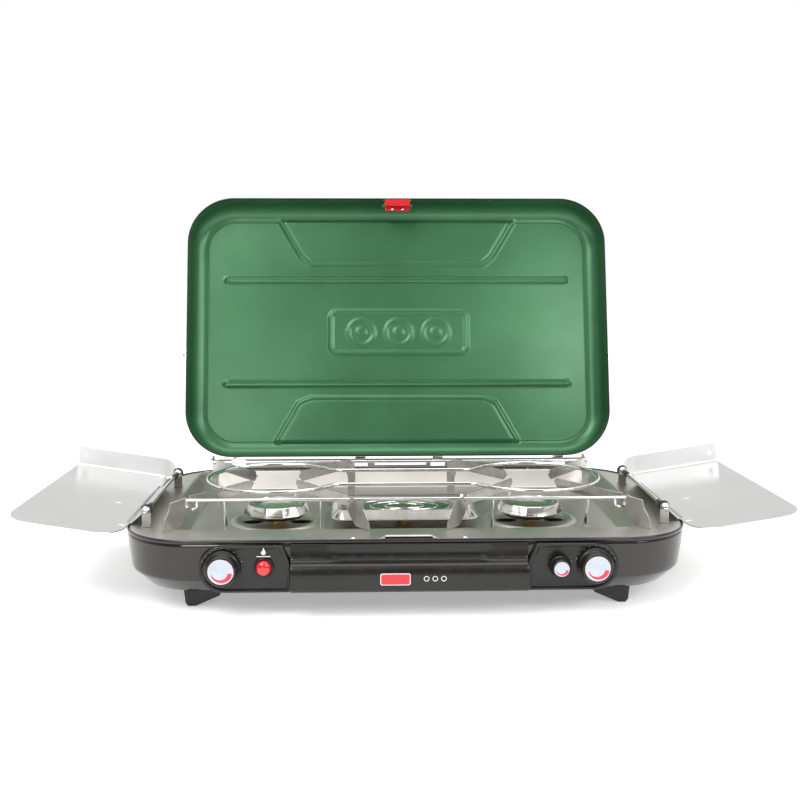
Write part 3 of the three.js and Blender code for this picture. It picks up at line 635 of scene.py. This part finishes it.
def make_knob(name, x, k):
    """A knob of k times the large one's radius: ribbed grip on a skirt, printed disc, marks on the bezel."""
    ribs = 30 if k == 1 else 22
    body = f"knob_{name}"

    def wave(r, y, a):
        return 0.35 * max(0, math.cos(ribs * a)) if r > 17 * k and -226 < y < -218 else 0

    def about_middle(p):
        return Vector((p[0] * 0.001 / k, (p[1] - KNOB_FRONT) * 0.001, p[2] * 0.001 / k))

    profile = [(0.01, -228.1), (15.1 * k, -228.1), (15.6 * k, -228.9), (16.3 * k, -229.0),
               (17.1 * k, -228.6), (17.8 * k, -227.6), (18.1 * k, -226.2), (18.2 * k, -225.8),
               (18.6 * k, -219.2), (19.4 * k, -218), (20.8 * k, -217), (21.4 * k, -216),
               (21.5 * k, -214.2), (21.1 * k, -213.7), (3.6, -213.6), (3.6, -199.3), (0.01, -199.3)]
    piece(f"knob_body_{name}", *turned_y(profile, x, KNOB_Z, 120, wave), black_plastic, body,
          "black_plastic", sharp=40, replaces=[body], origin=(x, KNOB_FRONT, KNOB_Z))
    disc = [(0.01, -228.62), (13.9 * k, -228.62), (14.6 * k, -228.5), (15.0 * k, -228.15),
            (15.05 * k, -227.8)]
    obj = piece(f"knob_face_{name}", *turned_y(disc, 0, 0, 72), face, body, "white_ceramic", sharp=60,
                weld=True, put=about_middle)
    middle = Matrix.Translation(place((x, KNOB_FRONT, KNOB_Z)))
    obj.matrix_world = middle @ Matrix.Diagonal((k, 1, k, 1))
    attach(obj, body)
    marks = []
    half, y = 0.28, -213.05
    for i, a in enumerate(np.radians(np.linspace(20, 160, 9 if k == 1 else 7))):
        inner, outer = 22.4 * k + 0.8, 23.6 * k + (1.2 if i % 4 == 0 else 0.7)
        c, s = math.cos(a), math.sin(a)
        corners = ((inner, half), (outer, half), (outer, -half), (inner, -half))
        marks.append(([(x + r * c - w * s, y, KNOB_Z + r * s + w * c) for r, w in corners], [(0, 1, 2, 3)]))
    piece(f"dial_marks_{name}", *merged(*marks), tube, "casing", "tube_steel")


def make_igniter():
    x, z = -170, 61.3
    dome = [(0.01, -221.5), (2.6, -221.4), (4.8, -221.0), (6.6, -220.1), (8.0, -218.7), (8.8, -217),
            (9.1, -215), (9.1, -210.3), (0.01, -210.3)]
    piece("igniter_dome", *turned_y(dome, x, z, 64), red_plastic, "igniter_button", "red_plastic",
          sharp=50, replaces=["igniter_button"])
    collar = [(9.7, -208.5), (9.7, -213.6), (10.2, -214.3), (11.2, -214.3), (11.8, -213.6), (11.8, -211.5)]
    verts, faces = turned_y(collar, x, z, 64)
    open_faces = faces[:-2]
    piece("igniter_collar", verts, open_faces, black_plastic, "casing", "black_plastic", sharp=50)
    flame = [(0, 5.2), (1.0, 3.4), (1.9, 1.8), (2.1, 0.4), (1.4, -1.0), (0, -1.5), (-1.4, -1.0),
             (-2.1, 0.4), (-1.6, 1.8), (-0.8, 2.6)]
    icon = [(x + a * 1.3, -213.3, 78.6 + b * 1.3) for a, b in flame]
    piece("flame_icon", icon, [tuple(range(len(icon)))], white_ink, "casing", "white_ceramic")
    line = [(x - 8, -213.25, 74.4), (x + 8, -213.25, 74.4), (x + 8, -213.25, 75.4), (x - 8, -213.25, 75.4)]
    piece("icon_line", line, [(0, 1, 2, 3)], white_ink, "casing", "white_ceramic")


# ---- Burners ----
def make_side_bowl(name, x):
    """A polished round bowl whose outer wall has twelve faint flats."""
    flats, steps = 12, 72
    profile = [(0.01, 86.4), (22, 86.4), (31, 87.2), (34.6, 89.2), (36.2, 91.0), (37.4, 91.2),
               (38.4, 90.5), (44.4, 81.6), (44.9, 80.4), (44.4, 79.2), (34.5, 73.2), (28, 71.6),
               (11.4, 71.6), (11.4, 73)]
    rings = []
    for r, z in profile:
        ring = []
        for i in range(steps):
            a = 2 * math.pi * i / steps
            local = (a + math.pi / flats) % (2 * math.pi / flats) - math.pi / flats
            flat = math.cos(math.pi / flats) / math.cos(local)
            rr = r if r < 37 else r * (1 + (flat - 1) * 0.8)
            ring.append((x + rr * math.cos(a), BURNER_Y + rr * math.sin(a), z))
        rings.append(ring)
    piece(f"burner_bowl_{name}", *loft(rings), mirror, "casing", "polished_steel", sharp=12,
          replaces=[f"burner_cap_{name}"])


def make_middle_bowl():
    # each level is how far the rim stands out from the bowl's outline, and its height
    levels = [(-6, 85.6), (-3.6, 86), (-1.8, 88.4), (-0.6, 90.8), (0.4, 90.7), (8.4, 81.6), (9.4, 80.2),
              (8.6, 78.8), (-4, 74.4), (-12, 73)]
    rings = [[(a, BURNER_Y + b, z) for a, b in loop(88 + out, 44 + out, max(9 + out, 3), 0, 24, 12)]
             for out, z in levels]
    piece("burner_bowl_middle", *loft(rings), mirror, "casing", "polished_steel", sharp=18,
          replaces=["burner_cap_middle"])
    ripples = []
    for r in (14, 24, 34):
        oval = [(r * 1.9 * math.cos(a), BURNER_Y + r * math.sin(a), 85.7) for a in around(60)]
        ripples.append(wire(oval, 0.9, 8, True))
    piece("bowl_ripples", *merged(*ripples), mirror, "casing", "polished_steel")


def make_hex(name, x):
    """The hexagon of the brass fitting under a bowl."""
    hexagon = turned_z([(11.6, 66.8), (11.6, 71.4)], x, BURNER_Y, 6)
    piece(f"hex_{name}", *hexagon, brass, "casing", "brass", bevel=0.5, weld=True)


# ---- Lid ----
# the two wedge pressings, as (x, distance up the open lid from its hinge)
UPPER = [(-204, 430), (-204, 412), (-157, 330), (-142, 316.5), (140, 316), (156, 330), (206, 412), (206, 430)]
LOWER = [(-210, 0), (-200, 26), (-160, 96), (-137, 105), (137, 103.5), (158, 95), (198, 23.5), (206, 0)]


def roof(x, y):
    """The lid's roof, seen from inside: z of the closed lid's inner face."""
    s = HINGE_Y - y
    z = np.full(np.shape(x), 138.4)
    for outline in (UPPER, LOWER):
        d = from_polygon(x, s, outline)
        z -= 3.4 * smoothstep(-d, -1.8, 1.8)
        z += 1.0 * smoothstep(-d, 4.6, 6.4) * (1 - smoothstep(-d, 6.4, 8.6))
    for level in (293, 125):
        d = np.hypot(np.maximum(np.abs(x) - 272, 0), s - level)
        z -= 3.0 * smoothstep(6.4 - d, 0, 2.6) - 1.4 * smoothstep(6.4 - d, 3.4, 6)
    frame_d = from_box(x, s, 2, 208, 112, 37, 14)
    z -= 2.4 * smoothstep(-frame_d, -1.6, 1.6) - 1.9 * smoothstep(-frame_d, 5, 8)
    for cx in (-58, 2, 62):
        d = np.hypot(x - cx, s - 208)
        z -= 1.5 * (smoothstep(d, 17, 19) - smoothstep(d, 22, 24))
        z -= 1.5 * (smoothstep(d, -2, 0) - smoothstep(d, 7, 9.5))
    return z


def outer_roof(x, y):
    return roof(x, y) + 1.0


def lid_outline(inset):
    """Half width, half depth, corner radius and middle of the lid's outline, drawn in."""
    return LID_X - inset, LID_Y - inset, LID_CORNER - inset, LID_MIDDLE


def make_lid():
    field, outer_field = 27.2, 26
    steps = 9
    rings = []
    for k in range(1, steps + 1):
        a = math.pi / 2 * (1 - k / steps)
        rings.append((*lid_outline(3.2 + 24 * (1 - math.cos(a))), LID_RIM_Z + 22 + 22 * math.sin(a)))
    for inset, z in ((2.2, 106.4), (1.7, 97.4), (1.5, 95.0), (0.9, 94.45), (0.1, 94.9), (0, 97), (0, 99.4),
                     (0.6, 100.4)):
        rings.append((*lid_outline(inset), z))
    for k in range(steps + 1):
        a = math.pi / 2 * k / steps
        rings.append((*lid_outline(2 + 24 * (1 - math.cos(a))), LID_RIM_Z + 20 + 24.9 * math.sin(a)))
    inner = tray(*lid_outline(field), roof, rings, 250, 138)
    outer = tray(*lid_outline(outer_field), outer_roof, [], 250, 138)
    piece("lid_pressing", *merged(inner, outer), green, "lid", "green_enamel", put=leaning, sharp=50,
          replaces=["lid_shell"], weld=True)
    # a near black tube laid over the green rolled rim gives the lid's edge a dark band: painted shade in the
    # roll
    bead = [(x, y, 95.6) for x, y in loop(*lid_outline(0.9), 80, 44)]
    piece("lid_rim_shade", *wire(bead, 1.15, 12, True), black_plastic, "lid", "black_enamel", put=leaning,
          sharp=60)
    crease = [(x, y, 138.7) for x, y in loop(*lid_outline(field), 80, 44)]
    piece("lid_crease", *wire(crease, 1.3, 10, True), green, "lid", "green_enamel", put=leaning, sharp=60)


def make_latch():
    y0, y1 = -198.2, -195.4
    outline = [(-20, 85.6), (-19.4, 85), (19.4, 85), (20, 85.6), (20, 112), (19, 113), (-19, 113), (-20, 112)]
    parts = {
        "lever": prism(outline, "y", y0, y1),
        "lip": prism([(y1, 85), (y1 + 7, 85), (y1 + 7, 88), (y1, 88)], "x", -19.6, 19.6),
        "barrel": loft([[(x, -196.8 + 2.9 * math.cos(a), 110 + 2.9 * math.sin(a)) for a in around(24)]
                        for x in (-20, 20)]),
        "pad": prism([(-15, 91), (15, 91), (15, 103), (-15, 103)], "y", y1 - 0.2, y1 + 1.1),
    }
    for name, part in parts.items():
        piece(f"latch_{name}", *part, red_plastic, "latch", "red_plastic", put=leaning, weld=True, bevel=0.5,
              replaces=["lid_latch"] if name == "lever" else ())
    step = prism([(y1, 97), (y1 + 11, 97), (y1 + 11.5, 97.6), (y1 + 11.5, 101), (y1, 101)], "x", -19, 19)
    piece("latch_step", *step, red_plastic, "latch", "red_plastic", put=leaning, weld=True, bevel=0.4)
    rivet = [(0.01, 95.6), (1.4, 95.8), (2.1, 96.4), (2.2, 97.1), (0.01, 97.1)]
    for i, x in enumerate((-8, 8)):
        piece(f"latch_rivet_{i + 1}", *turned_z(rivet, x, y1 + 9.2, 20), chrome, "latch", "chrome",
              put=leaning, weld=True)


# ---- Wind panels ----
def panel_sheet():
    """The flat plate with its strip turned up along the rod."""
    corner = 16
    outline = bezier((19, -140), (19, -187), (57, -187), 14)
    outline += bezier((112, -187), (157, -187), (157, -143), 14)
    outline += [(154, 140), (35, 140)]
    outline += [(35 - corner * math.sin(a), 124 + corner * math.cos(a))
                for a in np.linspace(0, math.pi / 2, 12)[1:]]
    plate = prism(outline, "z", PANEL_UNDER, PANEL_TOP)
    strip = [(24, PANEL_TOP), (17.6, PANEL_TOP), (9.2, -9.2), (4.4, -1.6), (3.2, -1.6), (8, -10),
             (17, PANEL_UNDER), (24, PANEL_UNDER)]
    return merged(plate, prism(strip, "y", -126, 80))


def panel_flange():
    """The rear flange, bent up with a small radius: it wraps on past the plate and tapers there."""
    bend = 32
    spine = [(154, 140), (120, 140), (80, 140), (50, 140)]
    spine += [(35 - bend * math.sin(a), 108 + bend * math.cos(a))
              for a in np.linspace(0, math.radians(57), 22)]
    # the section, as distance inwards and share of the height; the last two points form the lip
    section = [(0, 0.0), (0.0, 0.88), (0.15, 0.96), (0.6, 1.0), (1.0, 1.0), (1.3, 0.96), (1.2, 0.13),
               (1.6, 0.08), (2.8, 0.045)]
    sheet, lip_from = 1.2, 7
    rings = []
    for i, (u, y) in enumerate(spine):
        ua, ya = spine[max(i - 1, 0)]
        ub, yb = spine[min(i + 1, len(spine) - 1)]
        t = Vector((ub - ua, yb - ya)).normalized()
        inward = Vector((-t.y, t.x))
        if inward.dot(Vector((60 - u, 60 - y))) < 0:
            inward = -inward
        away = max(0.0, (27 - u) / 19)
        foot = PANEL_UNDER + 8.5 * away
        crown = PANEL_TOP + 27.5 - 9 * away ** 2.2
        lip = min(1.0, max(0.0, (u - 24) / 4))
        ring = []
        for k, (q, share) in enumerate(section):
            depth = q if k < lip_from else sheet + (q - sheet) * lip
            ring.append((u + inward.x * depth, y + inward.y * depth, foot + (crown - foot) * share))
        rings.append(ring)
    return loft(rings)


def make_panel_marks(name, put, body):
    """The slots and the keyhole, pale against the sheet."""
    slots = []
    for u, y in ((53, -41), (26, -141)):
        slot = [(u + 4.4 * math.cos(a), y + 2.0 * math.sin(a), PANEL_TOP + 0.06) for a in around(20)]
        slots.append((slot, [tuple(range(20))]))
    piece(f"panel_slots_{name}", *merged(*slots), white_ink, body, "panel_steel", put=put)
    face_y = 138.72
    hole = [(143 + 4 * math.cos(a), face_y, -7 + 4 * math.sin(a))
            for a in np.radians(np.linspace(-250, 70, 25))]
    hole += [(144.4, face_y, 0.4), (141.6, face_y, 0.4)]
    piece(f"panel_keyhole_{name}", hole, [tuple(range(len(hole)))], white_ink, body, "panel_steel", put=put)


def make_panel_rod(name, put, body):
    """The rod, the sheet's two curls round it, and a push-on cap and a washer at each end."""
    for tag, y0, y1 in (("front", -124, -106), ("rear", 60, 78)):
        # the curls are the panel sheet drawn near black: painted shade where they wrap under the rod
        curl = turned_y([(3.5, y0), (3.9, y0 + 0.6), (3.9, y1 - 0.6), (3.5, y1)], 0, 0, 32)
        piece(f"panel_curl_{name}_{tag}", *curl, dark_steel, body, "dark_steel", put=put, weld=True)
    rod = turned_y([(2, -142), (2, 96)], 0, 0, 20)
    piece(f"panel_rod_{name}", *rod, chrome, body, "chrome", put=put, weld=True,
          replaces=[f"wind_panel_rod_{name}"])
    cap = [(0.01, 5.2), (2.0, 5.0), (3.6, 4.0), (4.5, 2.6), (5.0, 1.4), (5.6, 1.0), (5.6, 0.2), (5.2, 0)]
    washer = [(0.01, 5.2), (6.6, 5.2), (7.1, 5.7), (7.1, 7.2), (6.6, 7.8), (0.01, 7.8)]
    for tag, y in (("front", -137.2), ("rear", 83.6)):
        nut = turned_y([(r, y - d) for r, d in cap], 0, 0, 32)
        piece(f"push_nut_{name}_{tag}", *nut, chrome, body, "chrome", put=put, weld=True)
        ring = turned_y([(r, y + d) for r, d in washer], 0, 0, 32)
        piece(f"washer_{name}_{tag}", *ring, foot_plastic, body, "black_plastic", put=put, weld=True)


def make_wing(name, side):
    put = on_wing(side)
    body = f"wind_panel_{name}"
    sheet = piece(f"panel_{name}", *panel_sheet(), panel_steel, body, "panel_steel", put=put, sharp=40,
                  replaces=[body])
    add_bevel(sheet, 0.3, 2, 50)
    # the flange uses the paler copy of the panel steel: painted light on its lamp-facing side
    piece(f"panel_flange_{name}", *panel_flange(), flange_painted_light, body, "panel_steel", put=put, sharp=40)
    make_panel_marks(name, put, body)
    make_panel_rod(name, put, body)


# ---- Pan support ----
def make_ring_wire():
    """One wire that makes both rings, with a straight waist between them."""
    r, waist = 90, 45
    meet, ease = math.asin(waist / r), math.radians(7)
    straight = BURNER_X - r * math.cos(meet) - 10
    sweep = 2 * (math.pi - meet - ease)
    path = []
    for side in (1, -1):
        start = (math.pi if side > 0 else 0) + meet + ease
        ring = []
        for i in range(91):
            a = start + sweep * i / 90
            ring.append((side * BURNER_X + r * math.cos(a), BURNER_Y + r * math.sin(a)))
        near, far = side * straight, side * (straight + 10)
        low_y, high_y = BURNER_Y - side * waist, BURNER_Y + side * waist
        path += bezier((near, low_y), (far, low_y), ring[0], 9)[:-1] + ring
        path += bezier(ring[-1], (far, high_y), (near, high_y), 9)[1:]
    piece("ring_wire", *wire([(x, y, 125.3) for x, y in path], 2.5, 16, True), chrome, "pan_support",
          "chrome", replaces=["grate_ring_wire"], sharp=60)


def make_frame_wire(name, y):
    half, z = 256, 122.8
    hook = [(half, y, z), (half + 2.5, y, z - 3), (half + 3, y, z - 9), (half + 8.5, y, z - 12)]
    run = [(-a, b, c) for a, b, c in reversed(hook)] + [(3 - half, y, z), (0, y, z), (half - 3, y, z)] + hook
    piece(f"frame_wire_{name}", *wire(smooth_path(run, 10), 2, 14), chrome, "pan_support", "chrome",
          replaces=[f"grate_{name}_wire"], sharp=60)


def make_support_legs(y):
    outline = [(y + 1.2, 121), (y + 30, 69.4), (y + 22, 69.4), (y, 84), (y - 0.8, 121)]
    for i, x in enumerate((-225, -107, 107, 225)):
        leg = prism(outline, "x", x - 0.8, x + 0.8)
        piece(f"support_leg_{i + 1}", *leg, blade_steel, "pan_support", "chrome", weld=True, bevel=0.25)


def make_grate():
    reach = 119
    make_ring_wire()
    make_frame_wire("front", BURNER_Y - reach)
    make_support_legs(BURNER_Y - reach)
    make_frame_wire("rear", BURNER_Y + reach)


# ---- CAD nodes that keep their shape ----
def finish_cad():
    looks = {
        "gas_inlet": brass, "gas_manifold": tube, "igniter_body": black_plastic,
        "lid_hinge_bracket": bracket_steel, "lid_hinge_rod": chrome, "lid_hook_left": chrome,
        "lid_hook_right": chrome, "latch_pin": chrome, "igniter_electrode_left": ceramic,
        "igniter_electrode_right": ceramic,
    }
    for name in ("left", "middle", "right"):
        looks[f"burner_throat_{name}"] = brass
        looks[f"gas_valve_{name}"] = brass
        looks[f"mixing_tube_{name}"] = tube
    families = {"grate_blade": blade_steel, "lid_hinge_clip": chrome, "foot_": foot_plastic,
                "panel_hinge_ear": deck_steel}
    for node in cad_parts:
        for start, shader in families.items():
            if node.startswith(start):
                looks[node] = shader
    for node, shader in looks.items():
        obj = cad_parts[node]
        for s in obj.material_slots:
            s.material = shader.mat
        weld = obj.modifiers.new("weld", "WELD")
        weld.merge_threshold = 1e-6
        if node.startswith("foot_"):
            add_bevel(obj, 1.2, 3, 38)
        else:
            add_bevel(obj, 0.3, 2, 38)


# ---- Studio ----
def make_studio():
    world = bpy.data.worlds.new("studio")
    bpy.context.scene.world = world
    world.use_nodes = True
    nodes, links = world.node_tree.nodes, world.node_tree.links
    background = nodes["Background"]
    split = nodes.new("ShaderNodeSeparateXYZ")
    links.new(nodes.new("ShaderNodeTexCoord").outputs["Generated"], split.inputs[0])
    level = nodes.new("ShaderNodeMath")
    level.operation = "MULTIPLY_ADD"
    links.new(split.outputs[2], level.inputs[0])
    level.inputs[1].default_value = 0.7
    links.new(split.outputs[1], level.inputs[2])
    shade = nodes.new("ShaderNodeMapRange")
    links.new(level.outputs[0], shade.inputs["Value"])
    for key, number in (("From Min", -0.35), ("From Max", 0.25), ("To Min", 0.07), ("To Max", 1.0)):
        shade.inputs[key].default_value = number
    links.new(shade.outputs[0], background.inputs["Strength"])
    background.inputs["Color"].default_value = (1, 1, 1, 1)
    bpy.context.scene.view_settings.view_transform = "Standard"
    floor_mesh = bpy.data.meshes.new("floor")
    floor_mesh.from_pydata([(-9, -6, 0), (9, -6, 0), (9, 14, 0), (-9, 14, 0)], [], [(0, 1, 2, 3)])
    floor = bpy.data.objects.new("floor", floor_mesh)
    bpy.context.scene.collection.objects.link(floor)
    s = Shader("floor", (0.86, 0.86, 0.86), 0.7)
    s.set(s.out, "Base Color", s.mix(s.ramp(s.noise(2, 2), 0.3, 0.7), (0.86, 0.86, 0.86), (0.88, 0.88, 0.88)))
    s.set(s.out, "Emission Color", (1, 1, 1, 1))
    s.set(s.out, "Emission Strength", 0.38)
    floor_mesh.materials.append(s.mat)

    def softbox(name, spot, aim, size, power):
        light = bpy.data.lights.new(name, "AREA")
        light.shape = "RECTANGLE"
        light.size, light.size_y = size
        light.energy = power
        obj = bpy.data.objects.new(name, light)
        bpy.context.scene.collection.objects.link(obj)
        obj.location = spot
        obj.rotation_euler = (Vector(aim) - Vector(spot)).to_track_quat("-Z", "Y").to_euler()

    softbox("key", (-1.2, -1.6, 2.2), (0, 0, 0.1), (1.6, 1.2), 38)
    softbox("fill", (1.8, -1.4, 1.5), (0, 0, 0.1), (1.4, 1.2), 20)
    softbox("top", (0, 0.4, 2.6), (0, 0, 0), (2.4, 1.4), 26)
    softbox("lid_glow_right", (0.78, -1.6, 1.15), (0.2, 0.2, 0.35), (0.42, 0.36), 7)
    softbox("lid_glow_left", (-0.62, -1.6, 0.85), (-0.2, 0.2, 0.25), (0.5, 0.26), 4)


def make_camera():
    yaw, pitch = math.radians(1.727), math.radians(8.72)
    look = Vector((math.sin(yaw) * math.cos(pitch), math.cos(yaw) * math.cos(pitch), -math.sin(pitch)))
    data = bpy.data.cameras.new("camera")
    data.sensor_width = 36
    data.lens = 47.835
    data.shift_y = 0.0178
    obj = bpy.data.objects.new("camera", data)
    bpy.context.scene.collection.objects.link(obj)
    obj.location = place((-47.5, -1412, 425.3))
    obj.rotation_euler = look.to_track_quat("-Z", "Y").to_euler()
    bpy.context.scene.camera = obj


make_base()
make_deck()
make_handle()
make_bezels()
make_badge()
for knob in KNOBS:
    make_knob(*knob)
make_igniter()
for side_name, side_sign in SIDES:
    make_side_bowl(side_name, side_sign * BURNER_X)
    make_hex(side_name, side_sign * BURNER_X)
make_middle_bowl()
make_hex("middle", 0)
make_lid()
make_latch()
for side_name, side_sign in SIDES:
    make_wing(side_name, side_sign)
make_grate()
finish_cad()
make_studio()
make_camera()
